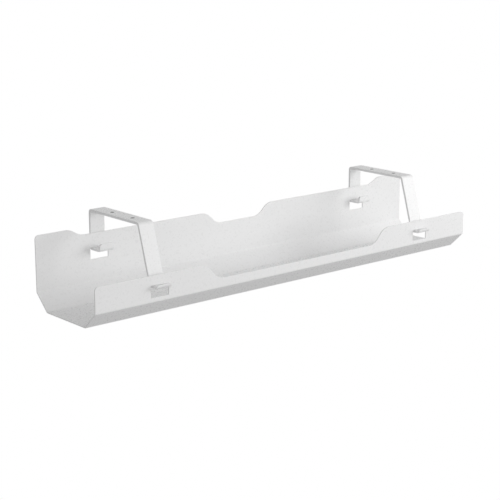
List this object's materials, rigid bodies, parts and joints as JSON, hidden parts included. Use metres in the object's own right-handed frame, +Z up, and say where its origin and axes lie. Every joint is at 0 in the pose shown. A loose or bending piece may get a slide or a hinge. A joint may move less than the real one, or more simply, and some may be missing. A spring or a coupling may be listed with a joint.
{
  "type": "under-desk cable tray",
  "caption": "Folded sheet-steel cable tray, open at top and ends, that hooks onto two bent strap brackets screwed under a desk and lifts off them.",
  "frame": {"origin": "middle of the four screw holes, on the straps' top faces, which is the plane of the desk's underside", "axes": "+X along the trough to the right bracket, +Y to the back, where the high wall is, +Z up into the desk"},
  "size_m": [0.6, 0.133, 0.107],
  "materials": {
    "tray_coat": "satin white powder coat, very fine texture",
    "bracket_coat": "satin white powder coat, very fine texture"
  },
  "bodies": {
    "brackets": {"left_bracket": "bracket_coat", "right_bracket": "bracket_coat"},
    "tray": {"tray": "tray_coat"}
  },
  "joints": [
    {"name": "tray_unhook", "type": "slide", "parent": "brackets", "child": "tray", "axis": [0, -0.8387, 0.5446], "range_m": [0, 0.025]}
  ]
}
